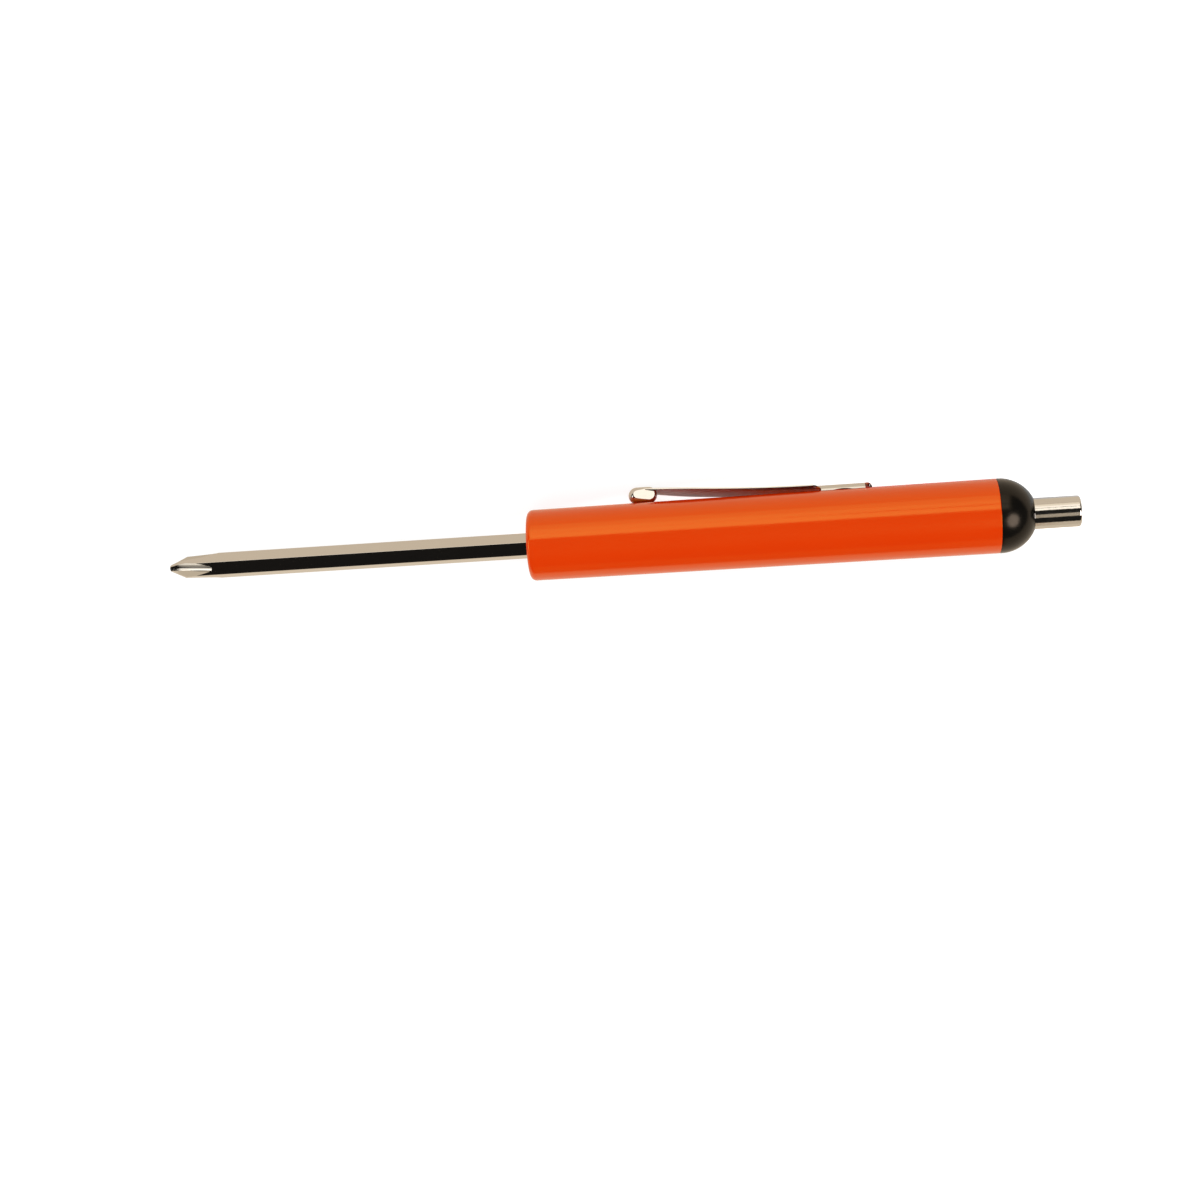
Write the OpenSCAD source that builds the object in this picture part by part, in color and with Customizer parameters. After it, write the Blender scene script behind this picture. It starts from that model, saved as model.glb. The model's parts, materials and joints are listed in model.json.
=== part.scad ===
// Pocket screwdriver with a removable double-ended blade, a sprung pocket clip
// and a pick-up magnet on its end cap.
// Units are millimetres. The tool's axis is X and the working tip points to +X.
// X is zero on the magnet's face. The tool lies as it rests on a table: the rear
// of the barrel and an edge of the clip's arm touch the plane Z = -barrel_rear_d / 2.

/* [Blade] */
// Width across the flats of the hexagonal blade
blade_flats = 4.0; // [3:0.1:5]
// Length of blade that stands out of the barrel
blade_out = 64.3; // [40:0.1:90]
// Length of blade hidden in the barrel
blade_in = 60; // [40:0.5:62]
// Diameter of the blunt end of the cross tip
cross_end_d = 1.1; // [0.6:0.05:1.4]
// Half angle of the cross tip's cone
cross_half_angle = 26.5; // [20:0.5:32]
// Length of the four ground flutes
flute_len = 8.2; // [5:0.1:12]
// Thickness of the core left between two opposite flutes at the tip
flute_core = 0.9; // [0.5:0.05:1.3]
// Width of the flat root of a flute
flute_root = 0.45; // [0.2:0.05:0.7]
// Included angle between the walls of a flute
flute_angle = 92; // [80:1:110]
// Thickness of the flat tip at the blade's other end
flat_tip_t = 0.7; // [0.5:0.05:1.2]
// Length of the taper that thins the flat tip
flat_taper_len = 9; // [5:0.5:14]

/* [Barrel] */
// Length of the barrel from its nose to the end cap
barrel_len = 81.2; // [70:0.1:110]
// Diameter at the nose
barrel_nose_d = 12.4; // [11:0.1:15]
// Diameter at the end cap
barrel_rear_d = 12.9; // [11.5:0.1:16]
// Radius of the rounded nose
nose_round = 1.0; // [0.4:0.1:1.6]
// Chamfer round the mouth of the blade socket
socket_chamfer = 0.3; // [0.1:0.05:0.6]
// Space left between the blade's hidden end and the bottom of its socket
socket_spare = 0.3; // [0.1:0.05:1]

/* [End cap] */
// Length of the dome, from the barrel to its small flat
dome_len = 6.0; // [5:0.1:6.4]
// Straight band between the barrel and the round of the dome
cap_band = 0.3; // [0.1:0.1:1]
// Diameter of the spigot that plugs the barrel
spigot_d = 8.5; // [7.5:0.1:9.5]
// Length of the spigot
spigot_len = 10; // [8.5:0.5:14]
// Chamfer on the spigot's leading edge
spigot_chamfer = 0.5; // [0.2:0.1:1]

/* [Magnet] */
// Diameter of the plated cup that holds the magnet
cup_d = 5.4; // [4.8:0.1:6]
// Length of cup that stands out of the end cap
cup_out = 8.0; // [5:0.1:12]
// Diameter of the cup's tail, pressed into the end cap
cup_tail_d = 4.6; // [4:0.1:5]
// Length of the cup's tail
cup_tail_len = 8; // [5:0.5:9]
// Radius of the cup's rolled rim
cup_rim_round = 0.4; // [0.2:0.05:0.6]
// Diameter of the magnet
magnet_d = 4.0; // [3:0.1:4.4]
// Length of the magnet
magnet_len = 5; // [3:0.1:7]

/* [Clip] */
// Distance from the barrel's nose to the front of the clip's ball
clip_setback = 17.8; // [12:0.1:20]
// Length of the ball
ball_len = 5.0; // [3.6:0.02:6]
// Diameter of the ball
ball_d = 2.95; // [2.6:0.05:3.6]
// Width over the two pressed flats on the ball's sides
ball_flats = 2.4; // [2:0.1:2.6]
// Distance from the front of the ball to where the springy arm ends
arm_reach = 33.5; // [28:0.1:38]
// Height of the ball's middle below the end of the arm's upper face
ball_drop = 1.15; // [0.6:0.05:1.2]
// Thickness of the sheet
sheet = 0.3; // [0.3:0.05:0.5]
// Width of the arm and of the saddle
clip_w = 5.1; // [4:0.1:6]
// Width of the arm where it meets the ball
neck_w = 3.4; // [2.8:0.1:4]
// Length of the arm's curved taper behind the ball
taper_len = 8; // [5:0.5:12]
// Length of the saddle that grips the barrel
saddle_len = 7.6; // [5:0.1:12]
// Height of the saddle's upper face above the barrel
saddle_rise = 0.69; // [0.6:0.01:1.2]
// Outer radius of the bends along the saddle's sides
saddle_bend = 0.55; // [0.5:0.05:0.8]
// Length of the shallow notch in the foot of each saddle wall
notch_len = 3.4; // [1:0.1:4]
// Height of that notch
notch_rise = 0.2; // [0.1:0.05:0.6]
// Outer radius of the bend that turns the sheet down into the barrel
tail_bend = 0.9; // [0.6:0.05:1.2]
// Width of the tail that is driven into the barrel
tail_w = 3.2; // [2:0.1:4]
// Depth of the tail below the barrel's surface
tail_depth = 2.8; // [1.5:0.1:3.2]

/* [Fits] */
// Running clearance round the blade, on each side
blade_play = 0.05; // [0.02:0.01:0.1]
// Clearance round pieces that are pressed or glued home
press_gap = 0.02; // [0.01:0.01:0.05]
// Clearance under the saddle's feet
seat_gap = 0.03; // [0.02:0.01:0.1]
// Saw-thin gap where the arm is parted from the saddle so that it can flex
flex_gap = 0.03; // [0.02:0.01:0.1]

/* [Hidden] */
$fn = 96;

// One overrun for every cut
over = barrel_nose_d / 10;

// Stations along the axis, from the magnet's face to the tip
cap_x = cup_out;
rear_x = cap_x + dome_len;
nose_x = rear_x + barrel_len;
tip_x = nose_x + blade_out;
blade_len = blade_out + blade_in;
flat_tip_x = tip_x - blade_len;
socket_depth = blade_in + socket_spare;

// Clip stations, along the axis
ball_front_x = nose_x - clip_setback;
ball_back_x = ball_front_x - ball_len;
arm_end_x = ball_front_x - arm_reach;
saddle_front_x = arm_end_x - flex_gap;
saddle_back_x = saddle_front_x - saddle_len;
tail_back_x = saddle_back_x - tail_bend - sheet;

// Clip heights above the axis, with the clip turned straight up
saddle_z = barrel_r(saddle_back_x) + saddle_rise;
ball_r = ball_d / 2;
ball_z = barrel_r(ball_front_x - ball_r) + seat_gap + ball_r;
arm_tip_z = ball_z + ball_drop;

// The arm's upper face is an arc that leaves the saddle level and ends above the ball
arm_run = arm_reach - ball_r;
arm_climb = arm_tip_z - saddle_z;
arm_bow = (arm_run * arm_run + arm_climb * arm_climb) / (2 * arm_climb);

// The taper of the arm is an arc too, level where it leaves the parallel edge
taper_in = (clip_w - neck_w) / 2;
taper_bow = (taper_len * taper_len + taper_in * taper_in) / (2 * taper_in);
taper_x = ball_back_x - taper_len;

// Turn about the axis at which the clip comes down on the table beside the barrel:
// the arm's edge is tried at stations along it, and then the ball
rest_stations = 60;
edge_turns = [
    for (k = [0 : rest_stations]) turn_down(arm_end_x + arm_run * k / rest_stations)
];
ball_turn = 180 - acos((barrel_rear_d / 2 - ball_r) / ball_z);
lying_turn = min(concat(edge_turns, [ball_turn]));

// Turn of the hexagon about the axis, which puts a flat square to the clip
hex_turn = 30;

// Turn of the flutes, which puts one on the flat next to the clip's
flute_turn = 60;

// Radius of the arc that makes the notch in a saddle wall
notch_r = (notch_len * notch_len / 4 + notch_rise * notch_rise) / (2 * notch_rise);

// Radius of the tapered barrel at a station on the axis
function barrel_r(x) =
    (barrel_rear_d + (barrel_nose_d - barrel_rear_d) * (x - rear_x) / barrel_len) / 2;

// Height of the arm's upper face at a station on the axis
function arm_top(x) = saddle_z + arm_bow - sqrt(pow(arm_bow, 2) - pow(x - arm_end_x, 2));

// Half the arm's width at a station on the axis
function arm_half_w(x) =
    clip_w / 2 - (x > taper_x ? taper_bow - sqrt(pow(taper_bow, 2) - pow(x - taper_x, 2)) : 0);

// Turn about the axis that brings the arm's edge at one station down to the table
function turn_down(x) =
    180 - atan(arm_half_w(x) / arm_top(x))
    - acos(barrel_rear_d / 2 / norm([arm_half_w(x), arm_top(x)]));

// Turns a shape drawn round +Z so that its own +Z points along the tool's +X
module along_axis(x) {
    translate([x, 0, 0]) rotate([0, 90, 0]) children();
}

// Turns what is drawn with the clip straight up to the way that the tool lies
module lie_down() {
    rotate([lying_turn, 0, 0]) children();
}

// Hexagonal prism along the axis, with a flat square to the clip
module hex_bar(flats, from_x, to_x) {
    along_axis(from_x)
        rotate([0, 0, hex_turn])
            cylinder(h = to_x - from_x, d = flats / cos(30), $fn = 6);
}

// Half outline of the barrel's skin: a slow taper that ends in a rounded nose
module barrel_outline() {
    intersection() {
        polygon([
            [0, 0],
            [barrel_rear_d / 2, 0],
            [barrel_nose_d / 2, barrel_len - nose_round],
            [barrel_nose_d / 2, barrel_len],
            [0, barrel_len]
        ]);
        union() {
            square([barrel_rear_d, barrel_len - nose_round]);
            square([barrel_nose_d / 2 - nose_round, barrel_len]);
            translate([barrel_nose_d / 2 - nose_round, barrel_len - nose_round])
                circle(nose_round);
        }
    }
}

// The barrel's skin as a plain cone, let out by a gap, for whatever seats on it
module barrel_cone(gap) {
    along_axis(rear_x)
        cylinder(h = barrel_len, d1 = barrel_rear_d + 2 * gap, d2 = barrel_nose_d + 2 * gap);
}

// Moulded barrel: hexagonal socket from the nose, round pocket from the rear
module barrel() {
    color("orangered")
    lie_down()
    difference() {
        along_axis(rear_x) rotate_extrude() barrel_outline();
        hex_bar(blade_flats + 2 * blade_play, nose_x - socket_depth, nose_x + over);
        along_axis(nose_x - socket_chamfer)
            cylinder(
                h = 2 * socket_chamfer,
                d1 = blade_flats,
                d2 = blade_flats / cos(30) + 4 * socket_chamfer
            );
        along_axis(rear_x - over)
            cylinder(h = over + spigot_len + cap_band, d = spigot_d + 2 * press_gap);
        tail_slot();
    }
}

// Slot in the barrel that takes the clip's tail
module tail_slot() {
    slot_floor_z = barrel_r(tail_back_x) - tail_depth - press_gap;
    translate([tail_back_x - press_gap, -tail_w / 2 - press_gap, slot_floor_z])
        cube([sheet + 2 * press_gap, tail_w + 2 * press_gap, tail_depth + over]);
}

// Disc of a profiled grinding wheel, with a flat rim between two slanted walls
module flute_wheel(wheel_r) {
    wall_reach = blade_flats;
    half_rim = flute_root / 2;
    half_top = half_rim + wall_reach * tan(flute_angle / 2);
    rotate([90, 0, 0])
        rotate_extrude($fn = 180)
            polygon([
                [wheel_r - wall_reach, -half_top],
                [wheel_r, -half_rim],
                [wheel_r, half_rim],
                [wheel_r - wall_reach, half_top]
            ]);
}

// Four flutes, each ground by a wheel that leaves the blade at the flute's end
module flutes() {
    run_out = blade_flats / 2 - flute_core / 2;
    lead = flute_len / 3;
    reach = flute_len + lead;
    wheel_r = (reach * reach - lead * lead) / (2 * run_out);
    floor_r = flute_core / 2 - lead * lead / (2 * wheel_r);
    for (k = [0 : 3])
        rotate([flute_turn + 90 * k, 0, 0])
            translate([tip_x + lead, 0, floor_r + wheel_r])
                flute_wheel(wheel_r);
}

// Cone that points the cross tip, blunt at its end
module tip_cone() {
    cone_d = 2 * blade_flats;
    cone_len = (cone_d - cross_end_d) / (2 * tan(cross_half_angle));
    along_axis(tip_x - cone_len) cylinder(h = cone_len, d1 = cone_d, d2 = cross_end_d);
    along_axis(flat_tip_x - over)
        cylinder(h = blade_len - cone_len + over, d = cone_d);
}

// Two sloping cuts that leave the flat tip
module flat_tip_cuts() {
    wedge_t = (blade_flats - flat_tip_t) / 2;
    for (side = [0, 180])
        rotate([side, 0, 0])
            translate([flat_tip_x, blade_flats, 0])
                rotate([90, 0, 0])
                    linear_extrude(2 * blade_flats)
                        polygon([
                            [-over, flat_tip_t / 2],
                            [0, flat_tip_t / 2],
                            [flat_taper_len, flat_tip_t / 2 + wedge_t],
                            [flat_taper_len, blade_flats],
                            [-over, blade_flats]
                        ]);
}

// Plated steel blade: cross tip at the front, flat tip at the hidden end
module blade() {
    color("silver")
    lie_down()
    difference() {
        intersection() {
            hex_bar(blade_flats, flat_tip_x, tip_x);
            tip_cone();
        }
        flutes();
        flat_tip_cuts();
    }
}

// Side view of the arm: a strip between two arcs, drawn in X and Z
module arm_side() {
    centre_z = saddle_z + arm_bow;
    intersection() {
        translate([arm_end_x, saddle_z - 2 * sheet])
            square([arm_run, arm_climb + 3 * sheet]);
        difference() {
            translate([arm_end_x, centre_z]) circle(arm_bow + sheet, $fn = 720);
            translate([arm_end_x, centre_z]) circle(arm_bow, $fn = 720);
        }
    }
}

// Plan of the arm: parallel edges, then an arched taper towards the ball
module arm_plan() {
    translate([arm_end_x, -clip_w / 2]) square([taper_x - arm_end_x, clip_w]);
    intersection() {
        translate([taper_x, -clip_w / 2])
            square([ball_front_x - ball_r - taper_x, clip_w]);
        translate([taper_x, clip_w / 2 - taper_bow]) circle(taper_bow, $fn = 360);
        translate([taper_x, taper_bow - clip_w / 2]) circle(taper_bow, $fn = 360);
    }
}

// Ball pressed at the arm's end: a short round bead with a flat on each side
module clip_ball() {
    intersection() {
        union() {
            translate([ball_front_x - ball_r, 0, ball_z]) sphere(ball_r);
            translate([ball_back_x + ball_r, 0, ball_z]) sphere(ball_r);
            translate([0, 0, ball_z])
                along_axis(ball_back_x + ball_r) cylinder(h = ball_len - ball_d, r = ball_r);
        }
        translate([ball_back_x - over, -ball_flats / 2, ball_z - ball_d])
            cube([ball_len + 2 * over, ball_flats, 2 * ball_d]);
    }
}

// Springy arm of the clip, with the ball at its end
module clip_arm() {
    color("gainsboro")
    lie_down()
    union() {
        intersection() {
            translate([0, clip_w, 0])
                rotate([90, 0, 0]) linear_extrude(2 * clip_w) arm_side();
            translate([0, 0, saddle_z - clip_w]) linear_extrude(3 * clip_w) arm_plan();
        }
        clip_ball();
    }
}

// Upright outline with two rounded upper corners, centred on the symmetry plane
module arched_outline(width, height, round_r) {
    translate([-width / 2, 0]) square([width, height - round_r]);
    translate([round_r - width / 2, 0]) square([width - 2 * round_r, height]);
    for (side = [-1, 1])
        translate([side * (width / 2 - round_r), height - round_r]) circle(round_r);
}

// Saddle: a channel of sheet whose walls stand on the barrel
module saddle_channel() {
    translate([saddle_back_x, 0, 0])
        rotate([90, 0, 90])
            linear_extrude(saddle_len)
                difference() {
                    arched_outline(clip_w, saddle_z, saddle_bend);
                    arched_outline(clip_w - 2 * sheet, saddle_z - sheet, saddle_bend - sheet);
                }
}

// Round-bottomed notch across the feet of both saddle walls
module saddle_notch() {
    wall_y = clip_w / 2;
    foot_z = sqrt(pow(barrel_r(saddle_back_x), 2) - wall_y * wall_y);
    translate([saddle_back_x + saddle_len / 2, clip_w, foot_z + notch_rise - notch_r])
        rotate([90, 0, 0]) cylinder(h = 2 * clip_w, r = notch_r);
}

// Side view of the tail: the sheet runs on, bends and goes down into the barrel
module tail_side() {
    bend_x = tail_back_x + tail_bend;
    bend_z = saddle_z - tail_bend;
    foot_z = barrel_r(tail_back_x) - tail_depth;
    translate([bend_x, saddle_z - sheet]) square([saddle_back_x + sheet - bend_x, sheet]);
    intersection() {
        translate([tail_back_x, bend_z]) square(tail_bend);
        difference() {
            translate([bend_x, bend_z]) circle(tail_bend);
            translate([bend_x, bend_z]) circle(tail_bend - sheet);
        }
    }
    translate([tail_back_x, foot_z]) square([sheet, bend_z - foot_z]);
}

// Fixed end of the clip: the saddle, and the tail that is driven into the barrel
module clip_saddle() {
    color("lightgray")
    lie_down() {
        difference() {
            saddle_channel();
            barrel_cone(seat_gap);
            saddle_notch();
        }
        translate([0, tail_w / 2, 0])
            rotate([90, 0, 0]) linear_extrude(tail_w) tail_side();
    }
}

// Half outline of the domed cap: spigot, band and a round that ends in a small flat
module cap_outline() {
    dome_r = barrel_rear_d / 2;
    intersection() {
        square([dome_r, dome_len]);
        union() {
            translate([0, dome_len - cap_band]) square([dome_r, cap_band]);
            translate([0, dome_len - cap_band]) circle(dome_r, $fn = 180);
        }
    }
    polygon([
        [0, dome_len - cap_band],
        [spigot_d / 2, dome_len - cap_band],
        [spigot_d / 2, dome_len + spigot_len - spigot_chamfer],
        [spigot_d / 2 - spigot_chamfer, dome_len + spigot_len],
        [0, dome_len + spigot_len]
    ]);
}

// Moulded end cap, bored for the tail of the magnet cup
module end_cap() {
    color("dimgray")
    difference() {
        along_axis(cap_x) rotate_extrude() cap_outline();
        along_axis(cap_x - over)
            cylinder(h = over + cup_tail_len + press_gap, d = cup_tail_d + 2 * press_gap);
    }
}

// Plated steel cup: a round post with a rolled rim, and a thinner tail
module magnet_cup() {
    cup_r = cup_d / 2;
    color("gold")
    difference() {
        along_axis(0)
            rotate_extrude() {
                square([cup_r - cup_rim_round, cup_out - press_gap]);
                translate([0, cup_rim_round])
                    square([cup_r, cup_out - press_gap - cup_rim_round]);
                translate([cup_r - cup_rim_round, cup_rim_round]) circle(cup_rim_round);
                square([cup_tail_d / 2, cup_out + cup_tail_len - press_gap]);
            }
        along_axis(-over)
            cylinder(h = over + magnet_len + press_gap, d = magnet_d + 2 * press_gap);
    }
}

// Round magnet, flush with the cup's rim
module magnet() {
    color("slategray")
    along_axis(0) cylinder(h = magnet_len, d = magnet_d);
}

barrel();
blade();
clip_arm();
clip_saddle();
end_cap();
magnet_cup();
magnet();
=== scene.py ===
"""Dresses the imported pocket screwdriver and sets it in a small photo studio.

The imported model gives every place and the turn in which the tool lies. Each class
below builds one sub-assembly of the tool with mesh operators, in metres, in the
model's own frame: X runs along the tool, from the magnet's face to the cross tip.
Most shapes are first made with the clip straight up and are then turned to lie.
The sizes of the tool's pieces are in millimetres, and angles are in degrees, except
where a comment says otherwise.
"""

from __future__ import annotations

import json
import logging
import math
from dataclasses import dataclass, field
from enum import Enum
from typing import Any, Iterable, Sequence

import bmesh
import bpy
from bmesh.types import BMEdge, BMesh, BMVert
from bpy.types import Material, Node, NodeSocket, NodeTree, Object
from mathutils import Matrix, Vector

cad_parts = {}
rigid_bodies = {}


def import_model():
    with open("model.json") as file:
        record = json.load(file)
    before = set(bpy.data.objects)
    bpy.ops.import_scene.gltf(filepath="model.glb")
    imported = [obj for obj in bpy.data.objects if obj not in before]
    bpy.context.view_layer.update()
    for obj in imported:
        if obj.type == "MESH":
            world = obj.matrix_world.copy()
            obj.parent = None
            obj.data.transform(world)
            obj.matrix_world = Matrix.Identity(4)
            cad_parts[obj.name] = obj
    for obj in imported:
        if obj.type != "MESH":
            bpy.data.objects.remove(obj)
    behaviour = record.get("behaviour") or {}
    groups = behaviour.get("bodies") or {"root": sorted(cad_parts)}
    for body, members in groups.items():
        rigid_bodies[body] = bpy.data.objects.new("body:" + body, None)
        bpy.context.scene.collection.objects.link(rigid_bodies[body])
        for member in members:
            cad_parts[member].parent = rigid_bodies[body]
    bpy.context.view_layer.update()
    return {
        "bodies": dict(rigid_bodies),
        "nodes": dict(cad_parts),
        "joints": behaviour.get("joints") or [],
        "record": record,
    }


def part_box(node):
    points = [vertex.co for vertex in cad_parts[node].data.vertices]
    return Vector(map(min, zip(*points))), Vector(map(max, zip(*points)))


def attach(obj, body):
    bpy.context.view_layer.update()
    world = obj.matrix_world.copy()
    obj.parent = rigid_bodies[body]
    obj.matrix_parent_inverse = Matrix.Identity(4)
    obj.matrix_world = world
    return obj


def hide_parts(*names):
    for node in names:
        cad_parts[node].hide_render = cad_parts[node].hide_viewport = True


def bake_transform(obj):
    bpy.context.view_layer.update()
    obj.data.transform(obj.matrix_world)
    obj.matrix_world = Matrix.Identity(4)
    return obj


LOG = logging.getLogger("pocket_screwdriver")

# One millimetre in the model's metres
MM = 0.001
# Points that are nearer to each other than this, in metres, are one point
CLOSE = 1e-7


class Body(Enum):
    """Rigid bodies of the tool that a piece can ride on."""

    HANDLE = "handle"
    BLADE = "blade"
    CLIP = "clip"


class Slot(Enum):
    """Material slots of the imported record."""

    BARREL = "barrel_plastic"
    CAP = "cap_plastic"
    BLADE = "blade_plating"
    CLIP = "clip_plating"
    CUP = "cup_plating"
    MAGNET = "magnet_alloy"


def hex_to_linear(code: str) -> tuple[float, float, float, float]:
    """Turn an sRGB hex colour into linear light.

    Args:
        code: Six hex digits, such as "E63C00".

    Returns:
        Red, green, blue and an alpha of 1, for a shader's colour socket.
    """
    channels = []
    for start in (0, 2, 4):
        value = int(code[start : start + 2], 16) / 255
        linear = value / 12.92 if value <= 0.04045 else ((value + 0.055) / 1.055) ** 2.4
        channels.append(linear)
    return (*channels, 1.0)


def add_node(
    tree: NodeTree, kind: str, inputs: dict[Any, Any] | None = None, **settings: Any
) -> Node:
    """Add one node with its settings, values and links.

    Args:
        tree: The node tree that takes the node.
        kind: The node's type name.
        inputs: Socket name or index to a value, or to the output that feeds it.
        **settings: Properties of the node itself.

    Returns:
        The new node.
    """
    node = tree.nodes.new(kind)
    for name, value in settings.items():
        setattr(node, name, value)
    for key, value in (inputs or {}).items():
        if isinstance(value, NodeSocket):
            tree.links.new(value, node.inputs[key])
        else:
            node.inputs[key].default_value = value
    return node


def seen_rays(tree: NodeTree) -> NodeSocket:
    """Tell camera, glossy and transmission rays from the rest.

    Args:
        tree: A material's or the world's tree.

    Returns:
        An output that is 1 for those rays and 0 for others.
    """
    path = add_node(tree, "ShaderNodeLightPath")
    seen = path.outputs["Is Camera Ray"]
    for name in ("Is Glossy Ray", "Is Transmission Ray"):
        pair = {0: seen, 1: path.outputs[name]}
        seen = add_node(tree, "ShaderNodeMath", pair, operation="MAXIMUM").outputs[0]
    return seen


def warm_in_gloss(tree: NodeTree, tone: str) -> NodeSocket:
    """Make a white that keeps a warm tone in the tool's gloss.

    The room of the photograph is warm. Its background is blown out to white, but the
    metal and the plastic still mirror the tone.

    Args:
        tree: A material's or the world's tree.
        tone: The tone's hex digits.

    Returns:
        The colour: white to look at, and the tone for glossy rays.
    """
    path = add_node(tree, "ShaderNodeLightPath")
    colours = {"Color1": (1.0, 1.0, 1.0, 1.0), "Color2": hex_to_linear(tone)}
    inputs = {"Fac": path.outputs["Is Glossy Ray"], **colours}
    return add_node(tree, "ShaderNodeMixRGB", inputs).outputs[0]


def moved(bm: BMesh, matrix: Matrix) -> BMesh:
    """Apply one matrix to a whole shape and return the shape."""
    bmesh.ops.transform(bm, matrix=matrix, verts=bm.verts[:])
    return bm


def rounded(
    bm: BMesh, corners: Sequence[BMVert | BMEdge], radius: float, facets: int, clamp: bool = False
) -> None:
    """Round the corners of an outline or the edges of a solid.

    Args:
        bm: The shape.
        corners: The outline's vertices, or the solid's edges.
        radius: How far the rounding reaches, in millimetres.
        facets: Facets of each rounding.
        clamp: Whether a rounding stops short of its neighbours.
    """
    bmesh.ops.bevel(
        bm,
        geom=corners,
        offset=radius * MM,
        offset_type="OFFSET",
        segments=facets,
        profile=0.5,
        affect="EDGES" if isinstance(corners[0], BMEdge) else "VERTICES",
        clamp_overlap=clamp,
        material=-1,
    )


def cut_at(bm: BMesh, place: Vector, normal: Vector, trim: bool = False) -> list[BMEdge]:
    """Cut every face of a shape at a plane.

    Args:
        bm: The shape.
        place: A point of the plane, in metres.
        normal: The direction that the plane faces.
        trim: Whether what lies in front of the plane comes off and the cut is closed.

    Returns:
        The edges along the cut.
    """
    whole = bm.verts[:] + bm.edges[:] + bm.faces[:]
    cut = bmesh.ops.bisect_plane(
        bm, geom=whole, dist=CLOSE, plane_co=place, plane_no=normal, clear_outer=trim
    )
    rim = [item for item in cut["geom_cut"] if isinstance(item, BMEdge)]
    if trim:
        bmesh.ops.edgeloop_fill(bm, edges=rim)
    return rim


def steps_between(low: float, high: float, size: float) -> list[float]:
    """Give even stations from one value to another, both included.

    Args:
        low: The first station.
        high: The last station.
        size: The longest step.

    Returns:
        The stations.
    """
    count = max(1, math.ceil((high - low) / size))
    return [low + (high - low) * number / count for number in range(count + 1)]


@dataclass(frozen=True)
class Layout:
    """Stations and directions of the tool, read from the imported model.

    All stations are distances along X in millimetres. The turn of the clip is in
    radians, and the floor's height in metres.
    """

    tip_x: float
    flat_tip_x: float
    nose_x: float
    rear_x: float
    cap_inner_x: float
    cup_inner_x: float
    magnet_inner_x: float
    dome_x: float
    ball_front_x: float
    arm_end_x: float
    tail_back_x: float
    rear_r: float
    saddle_top: float
    clip_turn: float
    floor_z: float
    # The barrel's radius at its nose, which no box gives
    nose_r: float = 6.2

    @classmethod
    def from_frame(cls, frame: dict[str, Any]) -> Layout:
        """Read the stations from the nodes' boxes and from the clip's hinge.


        Returns:
            The tool's layout.
        """
        ends = {name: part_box(name) for name in frame["nodes"]}
        hinge = next(joint for joint in frame["joints"] if joint["name"] == "clip_flex")
        pivot, axis = Vector(hinge["pos_m"]), Vector(hinge["axis"])
        barrel_low, barrel_high = ends["barrel"]
        return cls(
            tip_x=ends["blade"][1].x / MM,
            flat_tip_x=ends["blade"][0].x / MM,
            nose_x=barrel_high.x / MM,
            rear_x=barrel_low.x / MM,
            cap_inner_x=ends["end_cap"][1].x / MM,
            cup_inner_x=ends["magnet_cup"][1].x / MM,
            magnet_inner_x=ends["magnet"][1].x / MM,
            dome_x=ends["end_cap"][0].x / MM,
            ball_front_x=ends["clip_arm"][1].x / MM,
            arm_end_x=ends["clip_arm"][0].x / MM,
            tail_back_x=ends["clip_saddle"][0].x / MM,
            rear_r=(barrel_high.z - barrel_low.z) / 2 / MM,
            saddle_top=math.hypot(pivot.y, pivot.z) / MM,
            clip_turn=math.atan2(-axis.z, -axis.y),
            floor_z=min(low.z for low, _ in ends.values()),
        )

    @property
    def lie_down(self) -> Matrix:
        """Turn from "clip straight up" to the way that the tool lies."""
        return Matrix.Rotation(self.clip_turn, 4, "X")

    @staticmethod
    def toward(degrees: float) -> Vector:
        """Give the direction square to the axis that leans so far from up towards -Y."""
        angle = math.radians(degrees)
        return Vector((0.0, -math.sin(angle), math.cos(angle)))


@dataclass(frozen=True)
class Textures:
    """Textures of one material, laid by the piece's own coordinates in metres."""

    tree: NodeTree
    place: NodeSocket

    def clouds(self, size_mm: Sequence[float], detail: float) -> NodeSocket:
        """Make noise whose blots have a real size.

        Args:
            size_mm: Size of a blot along X, Y and Z.
            detail: Number of finer layers.

        Returns:
            The noise, from 0 to 1 with most of it near 0.5.
        """
        scale = tuple(1.0 / (size * MM) for size in size_mm)
        sized = add_node(self.tree, "ShaderNodeMapping", {"Vector": self.place, "Scale": scale})
        inputs = {"Vector": sized.outputs[0], "Scale": 1.0, "Detail": detail}
        return add_node(self.tree, "ShaderNodeTexNoise", inputs).outputs["Fac"]

    def spread(self, noise: NodeSocket, middle: float, share: float) -> NodeSocket:
        """Swing a value round its middle with a noise.

        Args:
            noise: The noise that drives it.
            middle: The value's middle.
            share: How far it swings, as a share of the middle.

        Returns:
            The value.
        """
        # Nearly all of the noise lies between these two
        inputs = {"Value": noise, "From Min": 0.3, "From Max": 0.7}
        inputs |= {"To Min": middle * (1 - share), "To Max": middle * (1 + share)}
        return add_node(self.tree, "ShaderNodeMapRange", inputs).outputs[0]

    def relief(self, layers: Sequence[tuple[NodeSocket, float]]) -> NodeSocket:
        """Stack bumps on each other.

        Args:
            layers: Each bump's height map and its height in millimetres.

        Returns:
            The surface normal.
        """
        normal = None
        for height, size_mm in layers:
            inputs = {"Height": height, "Distance": size_mm * MM, "Strength": 1.0}
            if normal is not None:
                inputs["Normal"] = normal
            normal = add_node(self.tree, "ShaderNodeBump", inputs).outputs[0]
        return normal


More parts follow.
